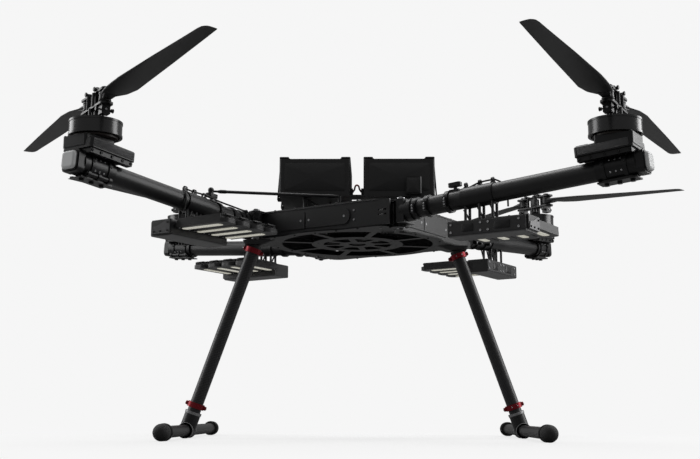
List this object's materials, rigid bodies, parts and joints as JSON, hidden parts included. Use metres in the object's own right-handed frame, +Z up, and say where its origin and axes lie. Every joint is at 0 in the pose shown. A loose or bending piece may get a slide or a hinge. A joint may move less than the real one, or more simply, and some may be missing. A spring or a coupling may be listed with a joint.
{
  "type": "quadcopter drone",
  "caption": "Heavy-lift folding quadcopter with pinwheel arms, folding rotor blades, twin batteries, light panels under the arms and tall skid landing gear.",
  "frame": {"origin": "centre of the payload bolt circle on the underside of the bottom plate", "axes": "+Z up, parallel to the rotor shafts; -Y is the front of the aircraft and +X its right-hand side as seen from the front"},
  "size_m": [1.5942, 1.8683, 0.672],
  "materials": {
    "carbon_plate": "carbon laminate plate, satin",
    "carbon_tube": "woven carbon tube, satin clear coat",
    "black_alloy": "black anodised aluminium",
    "red_alloy": "dark red anodised aluminium",
    "black_plastic": "fine grained moulded black plastic",
    "battery_shell": "black moulded battery shell",
    "webbing": "woven black webbing",
    "blade": "black composite blade, satin",
    "lamp_lens": "frosted white diffuser",
    "heat_sink": "black anodised lamp body with fins",
    "winding": "lacquered copper winding and dark core",
    "rubber": "soft black rubber",
    "steel": "plain steel bolts"
  },
  "bodies": {
    "airframe": {"antennas": "black_plastic", "arm_stays": "black_alloy", "battery_left": "battery_shell", "battery_right": "battery_shell", "battery_straps": "webbing", "battery_tray": "carbon_plate", "bottom_plate": "carbon_plate", "flight_controller": "black_plastic", "foot_caps": "rubber", "hinge_pins": "steel", "leg_brackets": "black_plastic", "leg_clamps": "red_alloy", "leg_tubes": "carbon_tube", "side_plates": "carbon_plate", "skid_tubes": "carbon_tube", "top_plate": "carbon_plate"},
    "arm_front_right": {"arm_tube_front_right": "carbon_tube", "arm_fittings_front_right": "black_alloy", "motor_mount_front_right": "black_alloy", "nav_light_front_right": "lamp_lens", "light_panel_front_right": "heat_sink", "light_driver_front_right": "black_plastic", "motor_base_front_right": "winding"},
    "rotor_front_right": {"motor_bell_front_right": "black_alloy", "rotor_hub_front_right": "black_alloy"},
    "blade_1_front_right": {"blade_1_front_right": "blade"},
    "blade_2_front_right": {"blade_2_front_right": "blade"},
    "arm_rear_right": {"arm_tube_rear_right": "carbon_tube", "arm_fittings_rear_right": "black_alloy", "motor_mount_rear_right": "black_alloy", "nav_light_rear_right": "lamp_lens", "light_panel_rear_right": "heat_sink", "light_driver_rear_right": "black_plastic", "motor_base_rear_right": "winding"},
    "rotor_rear_right": {"motor_bell_rear_right": "black_alloy", "rotor_hub_rear_right": "black_alloy"},
    "blade_1_rear_right": {"blade_1_rear_right": "blade"},
    "blade_2_rear_right": {"blade_2_rear_right": "blade"},
    "arm_rear_left": {"arm_tube_rear_left": "carbon_tube", "arm_fittings_rear_left": "black_alloy", "motor_mount_rear_left": "black_alloy", "nav_light_rear_left": "lamp_lens", "light_panel_rear_left": "heat_sink", "light_driver_rear_left": "black_plastic", "motor_base_rear_left": "winding"},
    "rotor_rear_left": {"motor_bell_rear_left": "black_alloy", "rotor_hub_rear_left": "black_alloy"},
    "blade_1_rear_left": {"blade_1_rear_left": "blade"},
    "blade_2_rear_left": {"blade_2_rear_left": "blade"},
    "arm_front_left": {"arm_tube_front_left": "carbon_tube", "arm_fittings_front_left": "black_alloy", "motor_mount_front_left": "black_alloy", "nav_light_front_left": "lamp_lens", "light_panel_front_left": "heat_sink", "light_driver_front_left": "black_plastic", "motor_base_front_left": "winding"},
    "rotor_front_left": {"motor_bell_front_left": "black_alloy", "rotor_hub_front_left": "black_alloy"},
    "blade_1_front_left": {"blade_1_front_left": "blade"},
    "blade_2_front_left": {"blade_2_front_left": "blade"}
  },
  "joints": [
    {"name": "arm_fold_front_right", "type": "hinge", "parent": "airframe", "child": "arm_front_right", "pos_m": [0.09701, -0.2316, 0.03], "axis": [0, 0, 1], "range_deg": [0, 55]},
    {"name": "rotor_spin_front_right", "type": "hinge", "parent": "arm_front_right", "child": "rotor_front_right", "pos_m": [0.5, -0.5, 0.15], "axis": [0, 0, 1], "continuous": true},
    {"name": "blade_fold_1_front_right", "type": "hinge", "parent": "rotor_front_right", "child": "blade_1_front_right", "pos_m": [0.48015, -0.53702, 0.2], "axis": [0, 0, 1], "range_deg": [-80, 80]},
    {"name": "blade_fold_2_front_right", "type": "hinge", "parent": "rotor_front_right", "child": "blade_2_front_right", "pos_m": [0.51985, -0.46298, 0.2], "axis": [0, 0, 1], "range_deg": [-80, 80]},
    {"name": "arm_fold_rear_right", "type": "hinge", "parent": "airframe", "child": "arm_rear_right", "pos_m": [0.2316, 0.09701, 0.03], "axis": [0, 0, 1], "range_deg": [0, 90]},
    {"name": "rotor_spin_rear_right", "type": "hinge", "parent": "arm_rear_right", "child": "rotor_rear_right", "pos_m": [0.5, 0.5, 0.15], "axis": [0, 0, -1], "continuous": true},
    {"name": "blade_fold_1_rear_right", "type": "hinge", "parent": "rotor_rear_right", "child": "blade_1_rear_right", "pos_m": [0.527, 0.46783, 0.2], "axis": [0, 0, -1], "range_deg": [-80, 80]},
    {"name": "blade_fold_2_rear_right", "type": "hinge", "parent": "rotor_rear_right", "child": "blade_2_rear_right", "pos_m": [0.473, 0.53217, 0.2], "axis": [0, 0, -1], "range_deg": [-80, 80]},
    {"name": "arm_fold_rear_left", "type": "hinge", "parent": "airframe", "child": "arm_rear_left", "pos_m": [-0.09701, 0.2316, 0.03], "axis": [0, 0, 1], "range_deg": [0, 55]},
    {"name": "rotor_spin_rear_left", "type": "hinge", "parent": "arm_rear_left", "child": "rotor_rear_left", "pos_m": [-0.5, 0.5, 0.15], "axis": [0, 0, 1], "continuous": true},
    {"name": "blade_fold_1_rear_left", "type": "hinge", "parent": "rotor_rear_left", "child": "blade_1_rear_left", "pos_m": [-0.51808, 0.46209, 0.2], "axis": [0, 0, 1], "range_deg": [-80, 80]},
    {"name": "blade_fold_2_rear_left", "type": "hinge", "parent": "rotor_rear_left", "child": "blade_2_rear_left", "pos_m": [-0.48192, 0.53791, 0.2], "axis": [0, 0, 1], "range_deg": [-80, 80]},
    {"name": "arm_fold_front_left", "type": "hinge", "parent": "airframe", "child": "arm_front_left", "pos_m": [-0.2316, -0.09701, 0.03], "axis": [0, 0, 1], "range_deg": [0, 90]},
    {"name": "rotor_spin_front_left", "type": "hinge", "parent": "arm_front_left", "child": "rotor_front_left", "pos_m": [-0.5, -0.5, 0.15], "axis": [0, 0, -1], "continuous": true},
    {"name": "blade_fold_1_front_left", "type": "hinge", "parent": "rotor_front_left", "child": "blade_1_front_left", "pos_m": [-0.47561, -0.53419, 0.2], "axis": [0, 0, -1], "range_deg": [-80, 80]},
    {"name": "blade_fold_2_front_left", "type": "hinge", "parent": "rotor_front_left", "child": "blade_2_front_left", "pos_m": [-0.52439, -0.46581, 0.2], "axis": [0, 0, -1], "range_deg": [-80, 80]}
  ]
}
